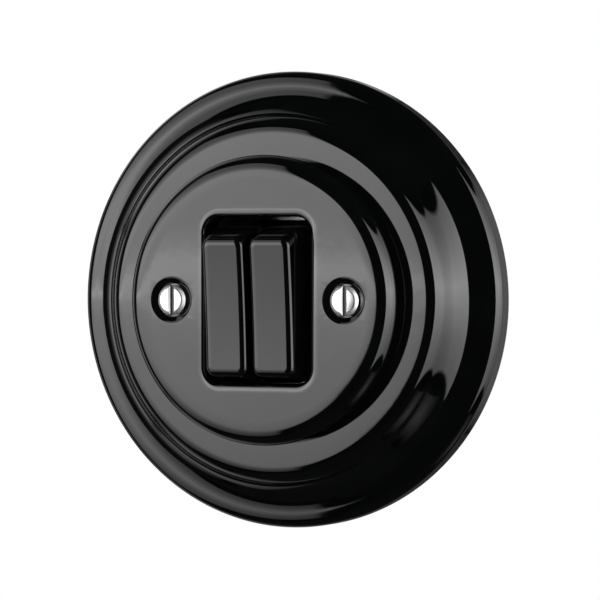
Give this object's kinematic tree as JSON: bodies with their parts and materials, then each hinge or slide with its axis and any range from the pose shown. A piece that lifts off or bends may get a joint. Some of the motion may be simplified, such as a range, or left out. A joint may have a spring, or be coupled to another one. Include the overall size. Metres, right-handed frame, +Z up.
{
  "type": "porcelain button switch",
  "caption": "Round glazed porcelain wall switch with rocker buttons side by side in a disc cover, on a moulded frame with a bead, cove and raised ring.",
  "frame": {"origin": "centre of the frame on the wall plane", "axes": "+Z up, the front faces -Y, +X to the right as seen from the front"},
  "size_m": [0.1, 0.0516, 0.1],
  "materials": {
    "black_glaze": "high gloss black glaze",
    "chrome": "polished plating",
    "zinc_steel": "zinc plated",
    "bright_steel": "drawn and ground",
    "brass": "bare turned brass",
    "moulded_base": "moulded, fine grain",
    "moulded_carrier": "moulded, fine grain"
  },
  "bodies": {
    "housing": {"porcelain_frame": "black_glaze", "porcelain_cover": "black_glaze", "cover_screws": "chrome", "support_plate": "zinc_steel", "threaded_pillars": "brass", "mechanism_base": "moulded_base", "base_screws": "zinc_steel", "pivot_pin": "bright_steel", "common_terminal": "brass", "left_terminal": "brass", "right_terminal": "brass", "terminal_screws": "zinc_steel"},
    "left_rocker": {"left_button": "black_glaze", "left_carrier": "moulded_carrier", "left_plunger": "brass", "left_spring": "bright_steel"},
    "right_rocker": {"right_button": "black_glaze", "right_carrier": "moulded_carrier", "right_plunger": "brass", "right_spring": "bright_steel"},
    "left_contact": {"left_contact_rocker": "brass"},
    "right_contact": {"right_contact_rocker": "brass"}
  },
  "joints": [
    {"name": "left_button_pivot", "type": "hinge", "parent": "housing", "child": "left_rocker", "pos_m": [-0.00553, -0.008, 0], "axis": [1, 0, 0], "range_deg": [-9, 0]},
    {"name": "left_contact_pivot", "type": "hinge", "parent": "housing", "child": "left_contact", "pos_m": [-0.00553, 0.013, 0], "axis": [1, 0, 0], "range_deg": [0, 12]},
    {"name": "right_button_pivot", "type": "hinge", "parent": "housing", "child": "right_rocker", "pos_m": [0.00553, -0.008, 0], "axis": [1, 0, 0], "range_deg": [-9, 0]},
    {"name": "right_contact_pivot", "type": "hinge", "parent": "housing", "child": "right_contact", "pos_m": [0.00553, 0.013, 0], "axis": [1, 0, 0], "range_deg": [0, 12]}
  ],
  "couplings": [
    {"joint": "left_contact_pivot", "follows": "left_button_pivot", "ratio": -1.3333},
    {"joint": "right_contact_pivot", "follows": "right_button_pivot", "ratio": -1.3333}
  ]
}
